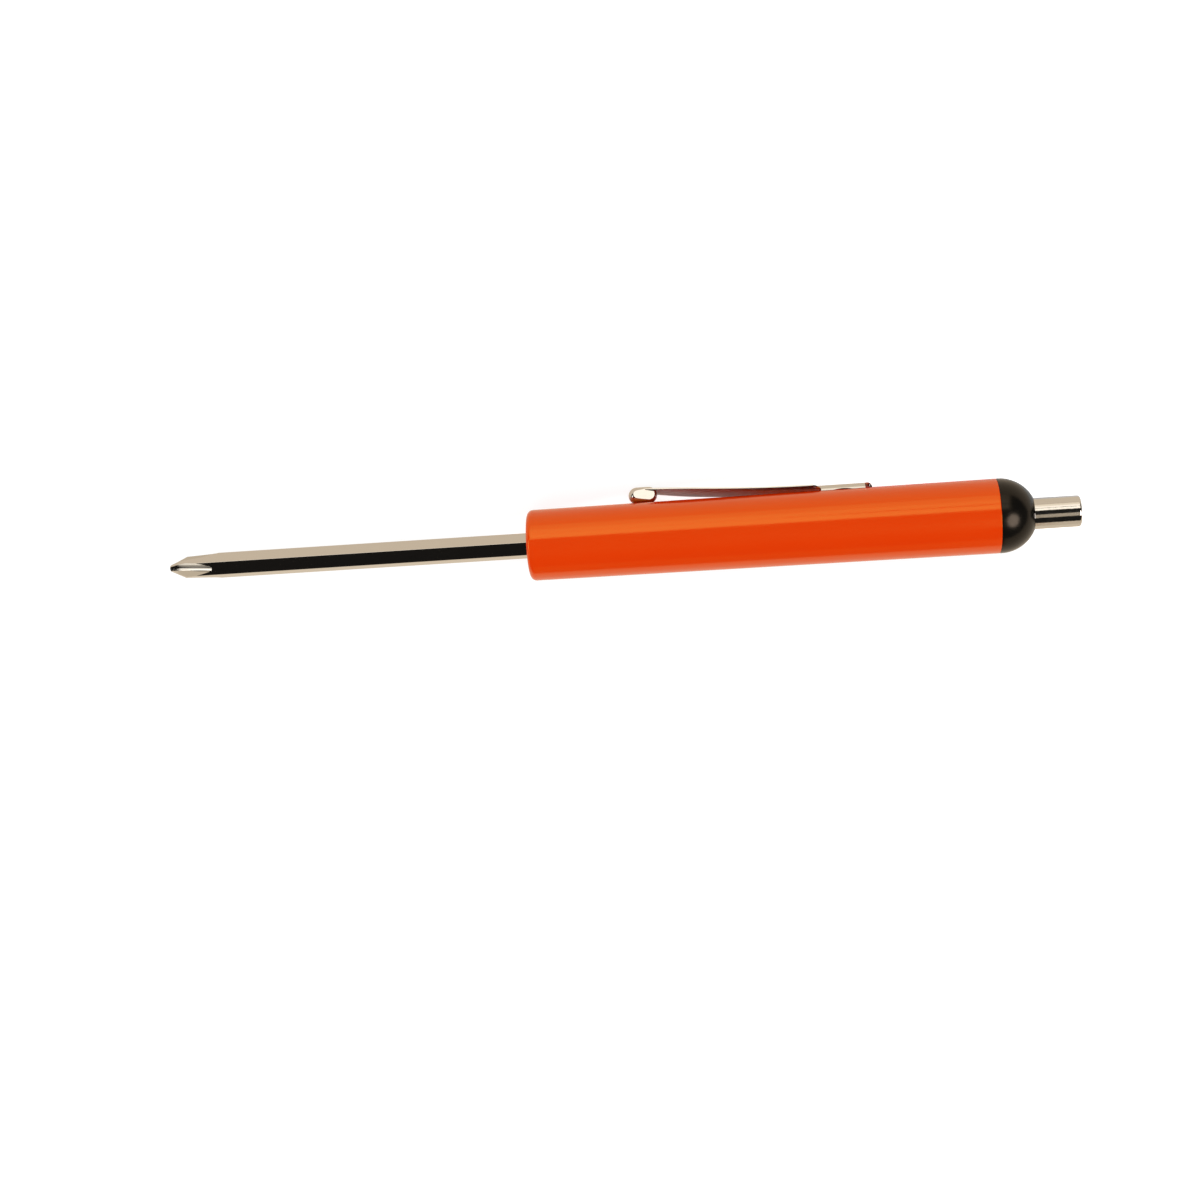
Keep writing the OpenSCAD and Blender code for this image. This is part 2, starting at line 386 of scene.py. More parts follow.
@dataclass(frozen=True)
class Finish:
    """A surface finish that builds one Principled material."""

    name: str

    def material(self) -> Material:
        """Build the material with its node tree.

        Returns:
            The material.
        """
        made = bpy.data.materials.new(self.name)
        made.use_nodes = True
        tree = made.node_tree
        tree.nodes.clear()
        place = add_node(tree, "ShaderNodeTexCoord").outputs["Object"]
        sockets = self.surface(Textures(tree, place))
        shader = add_node(tree, "ShaderNodeBsdfPrincipled", sockets)
        add_node(tree, "ShaderNodeOutputMaterial", {"Surface": shader.outputs[0]})
        return made

    def surface(self, textures: Textures) -> dict[str, Any]:
        """Say what the shader's sockets take: values, and outputs that feed them."""
        raise NotImplementedError


@dataclass(frozen=True)
class MouldedPlastic(Finish):
    """Injection-moulded ABS, polished by its mould.

    To the eye it is one even, strong colour under a clear skin. Slow sink waves bend
    the edges of the reflections, and fine pits keep them from looking like glass.
    """

    colour: str = "E63800"
    deep_colour: str = "E43400"
    sheen_tint: str = "D4FF7F"
    roughness: float = 0.16
    gloss_drift: float = 0.15
    # Sink waves, which are longer along the tool, and pits
    wave_mm: float = 5.0
    wave_stretch: float = 3.0
    wave_height_mm: float = 0.006
    pit_mm: float = 0.35
    pit_height_mm: float = 0.0006
    ior: float = 1.68

    def surface(self, textures: Textures) -> dict[str, Any]:
        """Add colour drift, gloss drift, mould waves and pits.

        Args:
            textures: The material's textures.

        Returns:
            Values and outputs for the shader's sockets.
        """
        wave_mm = (self.wave_stretch * self.wave_mm, self.wave_mm, self.wave_mm)
        waves = textures.clouds(wave_mm, detail=2.0)
        pits = textures.clouds((self.pit_mm,) * 3, detail=3.0)
        colours = hex_to_linear(self.colour), hex_to_linear(self.deep_colour)
        drift = {"Fac": waves, "Color1": colours[0], "Color2": colours[1]}
        layers = [(waves, self.wave_height_mm), (pits, self.pit_height_mm)]
        return {
            "Base Color": add_node(textures.tree, "ShaderNodeMixRGB", drift).outputs[0],
            "IOR": self.ior,
            "Specular Tint": hex_to_linear(self.sheen_tint),
            "Roughness": textures.spread(pits, self.roughness, self.gloss_drift),
            "Normal": textures.relief(layers),
        }


@dataclass(frozen=True)
class PlatedSteel(Finish):
    """Bright nickel plate over steel.

    To the eye it is a soft grey mirror that takes the room's tone, broken by the grain
    of the steel under it and by a faint cloudiness where the plate is dull.
    """

    tint: str = "C3C0BC"
    roughness: float = 0.08
    gloss_drift: float = 0.25
    grain_mm: tuple[float, float, float] = (6.0, 0.12, 0.12)
    grain_height_mm: float = 0.0004
    cloud_mm: float = 1.2

    def surface(self, textures: Textures) -> dict[str, Any]:
        """Add the grain of the metal under the plate, and a cloudy gloss.

        Args:
            textures: The material's textures.

        Returns:
            Values and outputs for the shader's sockets.
        """
        grain = textures.clouds(self.grain_mm, detail=2.0)
        cloud = textures.clouds((self.cloud_mm,) * 3, detail=4.0)
        return {
            "Base Color": hex_to_linear(self.tint),
            "Metallic": 1.0,
            "Roughness": textures.spread(cloud, self.roughness, self.gloss_drift),
            "Normal": textures.relief([(grain, self.grain_height_mm)]),
        }


@dataclass(frozen=True)
class WhitePaper(Finish):
    """Matt white sheet over a light table, which shows white and keeps a faint shadow.

    On the strip that the barrel lies on, the glow is left out for glossy rays: a painted
    shadow that shows only in the tool's own gloss. The strip's paler colour lets the
    shade and orange bounce there come out in that gloss.
    """

    colour: str = "959595"
    # Paler colour of the strip under the barrel, where the painted shadow in the gloss lies
    shadow_strip_colour: str = "F2F2F2"
    # The glow as a light, and for the rays that look at the paper
    glow: float = 0.32
    lift: float = 0.78
    gloss_tone: str = "EFD6B0"
    strip_middle_x: float = 0.0
    strip_half_len: float = 0.066
    strip_half_width: float = 0.008
    # The edge of the painted-shadow strip, as shares of its half length and half width
    fades_from: float = 0.8
    fades_to: float = 1.1

    def outside_painted_shadow(self, textures: Textures) -> NodeSocket:
        """Tell the open paper from the strip under the barrel, where the glow is left out in gloss
        as a painted shadow.

        Args:
            textures: The material's textures.

        Returns:
            An output that is 0 on the strip and 1 outside it, with a soft edge.
        """
        tree = textures.tree
        scale = (1 / self.strip_half_len, 1 / self.strip_half_width, 0.0)
        middle = (-self.strip_middle_x * scale[0], 0.0, 0.0)
        inputs = {"Vector": textures.place, "Location": middle, "Scale": scale}
        strip = add_node(tree, "ShaderNodeMapping", inputs).outputs[0]
        reach = add_node(tree, "ShaderNodeVectorMath", {0: strip}, operation="LENGTH")
        inputs = {"Value": reach.outputs["Value"]}
        inputs |= {"From Min": self.fades_from, "From Max": self.fades_to}
        edge = {"interpolation_type": "SMOOTHSTEP"}
        return add_node(tree, "ShaderNodeMapRange", inputs, **edge).outputs[0]

    def surface(self, textures: Textures) -> dict[str, Any]:
        """Add an even glow, stronger for the rays that look at it, and left out in gloss on the
        strip under the barrel as a painted shadow.

        Args:
            textures: The material's textures.

        Returns:
            Values and outputs for the shader's sockets.
        """
        tree, unshaded = textures.tree, self.outside_painted_shadow(textures)
        colours = hex_to_linear(self.shadow_strip_colour), hex_to_linear(self.colour)
        sheet = {"Fac": unshaded, "Color1": colours[0], "Color2": colours[1]}
        glossy = add_node(tree, "ShaderNodeLightPath").outputs["Is Glossy Ray"]
        # The strip's glow is left out in gloss: a painted shadow under the barrel in the tool's
        # reflections
        straight = add_node(tree, "ShaderNodeMath", {0: 1.0, 1: glossy}, operation="SUBTRACT")
        pair = {0: straight.outputs[0], 1: unshaded}
        kept = add_node(tree, "ShaderNodeMath", pair, operation="MAXIMUM")
        inputs = {"Value": seen_rays(tree), "To Min": self.glow, "To Max": self.lift}
        glow = add_node(tree, "ShaderNodeMapRange", inputs)
        pair = {0: glow.outputs[0], 1: kept.outputs[0]}
        strength = add_node(tree, "ShaderNodeMath", pair, operation="MULTIPLY")
        return {
            "Base Color": add_node(tree, "ShaderNodeMixRGB", sheet).outputs[0],
            "Roughness": 0.9,
            "Specular IOR Level": 0.0,
            "Emission Color": warm_in_gloss(tree, self.gloss_tone),
            "Emission Strength": strength.outputs[0],
        }


@dataclass(frozen=True)
class StudioCloth(Finish):
    """Matt cloth that hangs round the tool.

    To the eye it is the dark, or the tan, that the metal mirrors.
    """

    colour: str = "2B2927"

    def surface(self, textures: Textures) -> dict[str, Any]:
        """Give a dull weave with no gloss of its own."""
        colour = hex_to_linear(self.colour)
        return {"Base Color": colour, "Roughness": 1.0, "Specular IOR Level": 0.0}


class HalfOutline:
    """Outline in the XZ plane that is spun round the X axis into a turned part.

    Points are given in millimetres: a station along X and a radius.
    """

    def __init__(self) -> None:
        """Start an empty outline."""
        self.bm = bmesh.new()
        self.last: BMVert | None = None
        self.corners: list[tuple[BMVert, float]] = []

    def through(self, *points: tuple[float, ...]) -> HalfOutline:
        """Add points in a row, joined to the one before.

        Args:
            *points: Station, radius and, where the corner is rounded, its rounding.

        Returns:
            The outline itself, so that its parts can be chained.
        """
        for x, radius, *rounding in points:
            vert = self.bm.verts.new((x * MM, 0.0, radius * MM))
            if self.last is not None:
                self.bm.edges.new((self.last, vert))
            if rounding:
                self.corners.append((vert, rounding[0]))
            self.last = vert
        return self

    def arc(self, centre_x: float, degrees: float, steps: int) -> HalfOutline:
        """Swing the last point round a centre on the axis.

        Args:
            centre_x: Station of the centre.
            degrees: Angle, positive from +Z towards +X.
            steps: Number of chords.

        Returns:
            The outline itself.
        """
        swept = bmesh.ops.spin(
            self.bm,
            geom=[self.last],
            cent=(centre_x * MM, 0.0, 0.0),
            axis=(0.0, 1.0, 0.0),
            angle=math.radians(degrees),
            steps=steps,
            use_duplicate=False,
        )
        self.last = next(item for item in swept["geom_last"] if isinstance(item, BMVert))
        return self

    def turned(self, steps: int = 192) -> BMesh:
        """Round the corners and spin the outline into a solid.

        Args:
            steps: Facets round the axis.

        Returns:
            The turned part.
        """
        for vert, radius in self.corners:
            rounded(self.bm, [vert], radius, facets=6)
        bmesh.ops.spin(
            self.bm,
            geom=self.bm.verts[:] + self.bm.edges[:],
            cent=(0.0, 0.0, 0.0),
            axis=(1.0, 0.0, 0.0),
            angle=math.tau,
            steps=steps,
            use_merge=True,
            use_duplicate=False,
        )
        bmesh.ops.remove_doubles(self.bm, verts=self.bm.verts[:], dist=CLOSE)
        bmesh.ops.recalc_face_normals(self.bm, faces=self.bm.faces[:])
        return self.bm


@dataclass
class Workshop:
    """What every sub-assembly shares: the layout, and how a finished shape is put away."""

    layout: Layout
    sharp_degrees: float = 30.0

    def put_away(
        self,
        bm: BMesh,
        name: str,
        finish: Finish,
        slot: Slot,
        stands_for: Iterable[str],
        body: Body | None,
    ) -> Object:
        """Turn a finished shape into a piece that rides on its body.

        Args:
            bm: The finished shape, in metres, as it lies.
            name: The piece's name.
            finish: Its surface.
            slot: The record's material slot; not used.
            stands_for: The CAD nodes that it is shown for.
            body: The body that it rides on, or None for a piece that rides on none.

        Returns:
            The new object.
        """
        piece = self.loose(bm, name)
        mesh = piece.data
        mesh.shade_smooth()
        mesh.set_sharp_from_angle(angle=math.radians(self.sharp_degrees))
        mesh.materials.append(finish.material())
        even = piece.modifiers.new("even_shading", "WEIGHTED_NORMAL")
        even.keep_sharp = True
        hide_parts(*stands_for)
        if body is not None:
            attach(piece, body.value)
        return piece

    def carved(self, bm: BMesh, tools: Sequence[tuple[BMesh, str]]) -> BMesh:
        """Cut, trim or join one shape with others.

        Args:
            bm: The shape to work on. It is used up.
            tools: Shapes with what each does: DIFFERENCE, INTERSECT or UNION.

        Returns:
            The carved shape.
        """
        stock = self.loose(bm, "stock")
        helpers = []
        for number, (tool_bm, operation) in enumerate(tools):
            helper = self.loose(tool_bm, f"tool_{number}")
            cut = stock.modifiers.new(helper.name, "BOOLEAN")
            cut.object = helper
            cut.operation = operation
            cut.solver = "EXACT"
            helpers.append(helper)
        bpy.context.view_layer.update()
        ready = stock.evaluated_get(bpy.context.evaluated_depsgraph_get())
        result = bmesh.new()
        result.from_mesh(ready.to_mesh())
        ready.to_mesh_clear()
        for used in (stock, *helpers):
            mesh = used.data
            bpy.data.objects.remove(used)
            bpy.data.meshes.remove(mesh)
        bmesh.ops.remove_doubles(result, verts=result.verts[:], dist=CLOSE)
        return result

    @staticmethod
    def loose(bm: BMesh, name: str) -> Object:
        """Put a shape in the scene as an object.

        Args:
            bm: The shape. It is used up.
            name: The object's name.

        Returns:
            The new object.
        """
        mesh = bpy.data.meshes.new(name)
        bm.to_mesh(mesh)
        bm.free()
        made = bpy.data.objects.new(name, mesh)
        bpy.context.scene.collection.objects.link(made)
        return made


@dataclass
class Barrel:
    """Moulded barrel with its rounded nose, hexagonal socket and rear pocket."""

    shop: Workshop
    nose_round: float = 1.0
    rear_round: float = 0.12
    socket_flats: float = 4.1
    socket_chamfer: float = 0.3
    socket_depth: float = 60.3
    pocket_d: float = 8.54
    pocket_depth: float = 10.3
    finish: Finish = field(default_factory=lambda: MouldedPlastic("gloss_moulded_orange_plastic"))

    def skin(self) -> BMesh:
        """Turn the outer skin, the rear pocket and the nose.

        Returns:
            One closed solid, as it lies.
        """
        at = self.shop.layout
        pocket_x, pocket_r = at.rear_x + self.pocket_depth, self.pocket_d / 2
        outline = HalfOutline().through(
            (pocket_x, 0.0),
            (pocket_x, pocket_r),
            (at.rear_x, pocket_r),
            (at.rear_x, at.rear_r, self.rear_round),
            (at.nose_x, at.nose_r, self.nose_round),
            (at.nose_x, 0.0),
        )
        return outline.turned()

    def socket_core(self) -> BMesh:
        """Make the hexagonal core of the socket and its mouth, with a flat to the clip.

        Returns:
            The core, as it lies.
        """
        at = self.shop.layout
        corner_r = self.socket_flats / math.sqrt(3)
        inner_x, flare = at.nose_x - self.socket_depth, self.socket_chamfer
        outline = HalfOutline().through(
            (inner_x, 0.0),
            (inner_x, corner_r),
            (at.nose_x - flare, corner_r),
            (at.nose_x + flare, corner_r + 2 * flare),
            (at.nose_x + flare, 0.0),
        )
        return moved(outline.turned(steps=6), at.lie_down @ Matrix.Rotation(math.pi / 2, 4, "X"))

    def build(self) -> Object:
        """Make the barrel and seat it on the handle.

        Returns:
            The finished piece.
        """
        bm = self.shop.carved(self.skin(), [(self.socket_core(), "DIFFERENCE")])
        return self.shop.put_away(
            bm, "barrel_shell", self.finish, Slot.BARREL, ["barrel"], Body.HANDLE
        )


@dataclass
class Blade:
    """Hexagonal blade with a ground cross tip and a flat tip on its hidden end."""

    shop: Workshop
    flats: float = 4.0
    corner_round: float = 0.05
    cross_end_d: float = 1.1
    cross_end_round: float = 0.2
    cross_half_angle: float = 26.5
    flute_len: float = 8.2
    flute_core: float = 0.9
    flute_root: float = 0.66
    wheel_corner: float = 0.24
    flute_angle: float = 92.0
    flute_turn: float = 60.0
    flat_tip_t: float = 0.7
    flat_taper_len: float = 9.0
    # How far the wedges reach past the end of the bar
    wedge_spare: float = 1.0
    finish: Finish = field(default_factory=lambda: PlatedSteel("nickel_plate_on_drawn_bar"))

    def bar(self) -> BMesh:
        """Draw the hexagonal bar with its slightly rounded edges.

        Returns:
            The bar, with a flat to the clip.
        """
        at = self.shop.layout
        corner_r = self.flats / math.sqrt(3) * MM
        length = (at.tip_x - at.flat_tip_x) * MM
        bm = bmesh.new()
        bmesh.ops.create_cone(
            bm, cap_ends=True, segments=6, radius1=corner_r, radius2=corner_r, depth=length
        )
        long_edges = [e for e in bm.edges if abs(e.verts[0].co.z - e.verts[1].co.z) > corner_r * 2]
        rounded(bm, long_edges, self.corner_round, facets=3)
        middle = Matrix.Translation(((at.tip_x + at.flat_tip_x) / 2 * MM, 0, 0))
        return moved(bm, middle @ Matrix.Rotation(math.pi / 2, 4, "Y"))

    def tip_cone(self) -> BMesh:
        """Turn the round envelope that points the cross tip.

        Returns:
            The envelope.
        """
        at = self.shop.layout
        wide, end_r = self.flats, self.cross_end_d / 2
        cone_len = (wide - end_r) / math.tan(math.radians(self.cross_half_angle))
        outline = HalfOutline().through(
            (at.flat_tip_x - wide, 0.0),
            (at.flat_tip_x - wide, wide),
            (at.tip_x - cone_len, wide),
            (at.tip_x, end_r, self.cross_end_round),
            (at.tip_x, 0.0),
        )
        return outline.turned(steps=96)

    def flute_wheel(self, number: int) -> BMesh:
        """Turn the grinding wheel of one flute and stand it in its cut, clip up.

        Args:
            number: Which of the four flutes.

        Returns:
            The wheel.
        """
        at = self.shop.layout
        # The wheel's axis stands this far ahead of the tip
        lead = self.flute_len / 3
        reach = self.flute_len + lead
        run_out = (self.flats - self.flute_core) / 2
        wheel_r = (reach**2 - lead**2) / (2 * run_out)
        floor_r = self.flute_core / 2 - lead**2 / (2 * wheel_r)
        wall = self.flats
        half_rim = self.flute_root / 2
        half_top = half_rim + wall * math.tan(math.radians(self.flute_angle / 2))
        wheel = HalfOutline().through(
            (-half_top, wheel_r - wall),
            (-half_rim, wheel_r, self.wheel_corner),
            (half_rim, wheel_r, self.wheel_corner),
            (half_top, wheel_r - wall),
            (-half_top, wheel_r - wall),
        )
        upright = Matrix.Rotation(math.pi / 2, 4, "Z")
        stand = Matrix.Translation(((at.tip_x + lead) * MM, 0, (floor_r + wheel_r) * MM))
        around = Matrix.Rotation(math.radians(self.flute_turn + 90 * number), 4, "X")
        return moved(wheel.turned(steps=512), around @ stand @ upright)

    def flat_wedge(self, side: int) -> BMesh:
        """Make the wedge of steel that comes off one side of the flat tip.

        Args:
            side: Which of the two sides.

        Returns:
            The wedge, clip up.
        """
        at = self.shop.layout
        low, high = self.flat_tip_t / 2, self.flats
        places = (
            (-self.wedge_spare, low),
            (0.0, low),
            (self.flat_taper_len, self.flats / 2),
            (self.flat_taper_len, high),
            (-self.wedge_spare, high),
        )
        bm = bmesh.new()
        verts = [bm.verts.new(((at.flat_tip_x + x) * MM, -high * MM, z * MM)) for x, z in places]
        grown = bmesh.ops.extrude_face_region(bm, geom=[bm.faces.new(verts)], use_keep_orig=True)
        far = [item for item in grown["geom"] if isinstance(item, BMVert)]
        bmesh.ops.translate(bm, vec=(0, 2 * high * MM, 0), verts=far)
        bmesh.ops.recalc_face_normals(bm, faces=bm.faces[:])
        return moved(bm, Matrix.Rotation(math.pi * side, 4, "X"))

    def build(self) -> Object:
        """Grind the blade from its bar and seat it on its own body.

        Returns:
            The finished piece.
        """
        tools = [(self.tip_cone(), "INTERSECT")]
        tools += [(self.flute_wheel(number), "DIFFERENCE") for number in range(4)]
        tools += [(self.flat_wedge(side), "DIFFERENCE") for side in range(2)]
        bm = moved(self.shop.carved(self.bar(), tools), self.shop.layout.lie_down)
        return self.shop.put_away(bm, "hex_blade", self.finish, Slot.BLADE, ["blade"], Body.BLADE)


@dataclass
class PocketClip:
    """Stamped clip: ball, springy arm, saddle and the tail that goes into the barrel."""

    shop: Workshop
    sheet: float = 0.3
    width: float = 5.1
    neck_w: float = 3.4
    taper_len: float = 8.0
    ball_len: float = 5.0
    ball_d: float = 2.95
    ball_flats: float = 2.42
    flat_yaw: float = 6.0
    flat_dip: float = 3.0
    ball_rim: float = 0.2
    ball_drop: float = 1.15
    ball_gap: float = 0.03
    saddle_len: float = 7.6
    saddle_bend: float = 1.25
    fold_run: float = 1.5
    wall_corner: float = 0.4
    wall_sink: float = 0.15
    notch_len: float = 3.4
    notch_rise: float = 0.2
    tail_w: float = 3.2
    tail_bend: float = 0.9
    tail_depth: float = 2.8
    tail_shear: float = 0.18
    # Rounding of the sheet's edges, and the least turn of such an edge in radians
    edge_round: float = 0.06
    crisp_angle: float = 1.0
    # Run of the arm over which the bending of the strip is spread
    bend_run: float = 12.0
    # What the saddle's walls and the cone that trims them have too much
    wing_spare: float = 1.0
    seat_back: float = 0.05
    seat_front: float = 0.5
    # The tail's edges are sheared from this far behind the saddle's walls
    shear_gap: float = 0.02
    # Longest facets of the sheet: straight tail, bends, saddle, arm, side bend and flat top
    tail_step: float = 1.0
    fine_step: float = 0.2
    fine_past_saddle: float = 2.0
    arm_step: float = 0.8
    side_step: float = 0.11
    top_step: float = 0.7
    finish: Finish = field(
        default_factory=lambda: PlatedSteel(
            "nickel_plate_on_stamped_sheet",
            roughness=0.12,
            grain_mm=(0.5, 0.5, 0.5),
            grain_height_mm=0.0008,
        )
    )

    @property
    def saddle_front(self) -> float:
        """Station where the saddle ends and the arm begins."""
        return self.shop.layout.arm_end_x

    @property
    def saddle_back(self) -> float:
        """Station where the saddle's walls end at the rear."""
        return self.shop.layout.arm_end_x - self.saddle_len

    @property
    def bend_x(self) -> float:
        """Station where the sheet starts to bend down into the barrel."""
        return self.shop.layout.tail_back_x + self.tail_bend

    @property
    def arm_tip_x(self) -> float:
        """Station where the sheet ends, in the middle of the ball's front round."""
        return self.shop.layout.ball_front_x - self.ball_d / 2

    @property
    def flat_half(self) -> float:
        """Half the width of the saddle's flat top, between its two bends."""
        return self.width / 2 - self.saddle_bend

    @property
    def bent_half(self) -> float:
        """Half the flat blank's width up to the end of the bends."""
        return self.flat_half + self.saddle_bend * math.pi / 2

    @property
    def ball_z(self) -> float:
        """Height of the ball's middle above the tool's axis."""
        return self.barrel_r(self.arm_tip_x) + self.ball_gap + self.ball_d / 2

    def barrel_r(self, x: float) -> float:
        """Give the tapered barrel's radius.

        Args:
            x: Station along the tool.

        Returns:
            The radius there.
        """
        at = self.shop.layout
        share = (x - at.rear_x) / (at.nose_x - at.rear_x)
        return at.rear_r + (at.nose_r - at.rear_r) * share

    def top_at(self, x: float) -> float:
        """Give the height of the sheet's upper face: level, then a shallow arc up.

        Args:
            x: Station along the tool.

        Returns:
            The height there.
        """
        at = self.shop.layout
        if x <= self.saddle_front:
            return at.saddle_top
        run = self.arm_tip_x - self.saddle_front
        climb = self.ball_z + self.ball_drop - at.saddle_top
        bow = (run**2 + climb**2) / (2 * climb)
        return at.saddle_top + bow - math.sqrt(bow**2 - (x - self.saddle_front) ** 2)

    def half_width_at(self, x: float) -> float:
        """Give half the sheet's width: parallel, then an arched taper to the neck.

        Args:
            x: Station along the tool.

        Returns:
            Half the width there.
        """
        taper_x = self.shop.layout.ball_front_x - self.ball_len - self.taper_len
        if x <= taper_x:
            return self.width / 2
        drawn_in = (self.width - self.neck_w) / 2
        bow = (self.taper_len**2 + drawn_in**2) / (2 * drawn_in)
        return self.width / 2 - bow + math.sqrt(bow**2 - (x - taper_x) ** 2)

    def foot_at(self, x: float) -> float:
        """Give the height at which a saddle wall meets the barrel."""
        return math.sqrt(self.barrel_r(x) ** 2 - (self.width / 2) ** 2)

    def tail_end(self) -> float:
        """Say where the tail ends.

        Returns:
            The station on the blank, rolled out flat.
        """
        at = self.shop.layout
        upright = at.saddle_top - self.tail_bend
        upright -= self.barrel_r(at.tail_back_x) - self.tail_depth
        return self.bend_x - self.tail_bend * math.pi / 2 - upright

    def blank(self) -> BMesh:
        """Cut the flat blank: the arm, the saddle's two wings and the tail.

        Returns:
            The blank, rolled out flat at height 0 and sliced for forming.
        """
        half, tail = self.width / 2, self.tail_w / 2
        wing = self.bent_half + self.wing_spare
        edge = (
            (self.tail_end(), tail),
            (self.saddle_back, tail),
            (self.saddle_back, wing),
            (self.saddle_front, wing),
            (self.saddle_front, half),
            (self.arm_tip_x, half),
        )
        ring = [(x, -y) for x, y in edge] + [(x, y) for x, y in reversed(edge)]
        bm = bmesh.new()
        verts = [bm.verts.new((x * MM, y * MM, 0.0)) for x, y in ring]
        bm.faces.new(verts)
        # The front corners of the walls, and the corners of the tail
        rounded(bm, [verts[4], verts[7]], self.wall_corner, facets=4)
        rounded(bm, [verts[1], verts[10]], self.wall_corner / 2, facets=4)
        tail_bend_end = self.bend_x - self.tail_bend * math.pi / 2
        fine_end = self.saddle_front + self.fine_past_saddle
        along = steps_between(self.tail_end(), tail_bend_end, self.tail_step)
        along += steps_between(tail_bend_end, self.bend_x, self.fine_step)
        along += steps_between(self.saddle_back, fine_end, self.fine_step)
        along += steps_between(fine_end, self.arm_tip_x, self.arm_step)
        across = steps_between(self.flat_half, self.bent_half, self.side_step)
        across += steps_between(0.0, self.flat_half, self.top_step)
        for x in along:
            cut_at(bm, Vector((x * MM, 0, 0)), Vector((1, 0, 0)))
        for y in across:
            for side in (-1, 1):
                cut_at(bm, Vector((0, side * y * MM, 0)), Vector((0, 1, 0)))
        return bm

    def formed(self, place: Vector) -> Vector:
        """Say where a point of the flat blank goes when the clip is formed.

        Args:
            place: The point on the blank, in millimetres.

        Returns:
            The point on the formed sheet's upper face, clip up, in millimetres.
        """
        at = self.shop.layout
        side = -1 if place.y < 0 else 1
        across = abs(place.y)
        x, top = place.x, self.top_at(place.x)
        past = self.bend_x - place.x
        if past > 0:
            angle = min(past / self.tail_bend, math.pi / 2)
            below = max(0.0, past - self.tail_bend * math.pi / 2)
            x = self.bend_x - self.tail_bend * math.sin(angle)
            top = at.saddle_top - self.tail_bend * (1 - math.cos(angle)) - below
        # The side bends open smoothly where the arm leaves the saddle
        share = min(max((place.x - self.saddle_front) / self.fold_run, 0.0), 1.0)
        fold = 1 - share * share * (3 - 2 * share)
        if place.x > self.saddle_front:
            across *= self.half_width_at(place.x) / (self.width / 2)
        if across > self.flat_half and fold > 0 and past <= 0:
            radius = self.saddle_bend / fold
            angle = min(across - self.flat_half, self.saddle_bend * math.pi / 2) / radius
            height = top - radius * (1 - math.cos(angle))
            if across > self.bent_half:
                run = (across - self.bent_half) / self.wing_spare
                height += (self.foot_at(x) - self.wall_sink - height) * run
            across, top = self.flat_half + radius * math.sin(angle), height
        return Vector((x, side * across, top))

    def shear_tail(self, bm: BMesh) -> None:
        """Slant the tail's sheared edges, so that its inner face is the narrower one.

        Args:
            bm: The formed sheet, clip up, which is changed.
        """
        middle_z = self.shop.layout.saddle_top - self.tail_bend
        for vert in bm.verts:
            x, z = vert.co.x / MM, vert.co.z / MM
            depth = math.hypot(min(x - self.bend_x, 0.0), max(z - middle_z, 0.0))
            if x < self.saddle_back - self.shear_gap and depth < self.tail_bend - self.sheet / 2:
                vert.co.y *= 1 - 2 * self.tail_shear / self.tail_w

    def ball(self) -> BMesh:
        """Make the ball: a short round bead with a soft flat pressed on each side.

        Returns:
            The ball, clip up.
        """
        at = self.shop.layout
        radius = self.ball_d / 2
        back = at.ball_front_x - self.ball_len
        outline = HalfOutline().through((back, 0.0)).arc(back + radius, 90, steps=16)
        outline.through((self.arm_tip_x, radius)).arc(self.arm_tip_x, 90, steps=16)
        bm = outline.turned(steps=64)
        half = self.ball_flats / 2 * MM
        middle = (at.ball_front_x - self.ball_len / 2) * MM
        yaw, dip = math.radians(self.flat_yaw), math.radians(self.flat_dip)
        for side in (-1, 1):
            normal = Vector((-math.sin(yaw), side * math.cos(yaw), -math.sin(dip)))
            rim = cut_at(bm, Vector((middle, side * half, 0)), normal, trim=True)
            rounded(bm, rim, self.ball_rim, facets=4, clamp=True)
        bmesh.ops.recalc_face_normals(bm, faces=bm.faces[:])
        return moved(bm, Matrix.Translation((0, 0, self.ball_z * MM)))

    def seat(self) -> BMesh:
        """Make the piece of cone that trims the saddle's feet to the barrel.

        Returns:
            The cone.
        """
        back, front = self.saddle_back - self.seat_back, self.saddle_front + self.seat_front
        outline = HalfOutline().through(
            (back, 0.0),
            (back, self.barrel_r(back) + self.ball_gap),
            (front, self.barrel_r(front) + self.ball_gap),
            (front, 0.0),
        )
        return outline.turned()

    def notch(self) -> BMesh:
        """Make the upper part of the round bar that notches the feet of both walls.

        Returns:
            The part of the bar, clip up.
        """
        radius = (self.notch_len**2 / 4 + self.notch_rise**2) / (2 * self.notch_rise)
        bar_r, bar_len = radius * MM, 2 * self.width * MM
        bm = bmesh.new()
        bmesh.ops.create_cone(
            bm, cap_ends=True, segments=256, radius1=bar_r, radius2=bar_r, depth=bar_len
        )
        middle = (self.saddle_front + self.saddle_back) / 2
        top = self.foot_at(middle) + self.notch_rise
        moved(bm, Matrix.Rotation(math.pi / 2, 4, "X"))
        moved(bm, Matrix.Translation((middle * MM, 0, (top - radius) * MM)))
        # Well below the feet of the walls
        low = Vector((0, 0, (top - 4 * self.notch_rise) * MM))
        cut_at(bm, low, Vector((0, 0, -1)), trim=True)
        bmesh.ops.recalc_face_normals(bm, faces=bm.faces[:])
        return bm

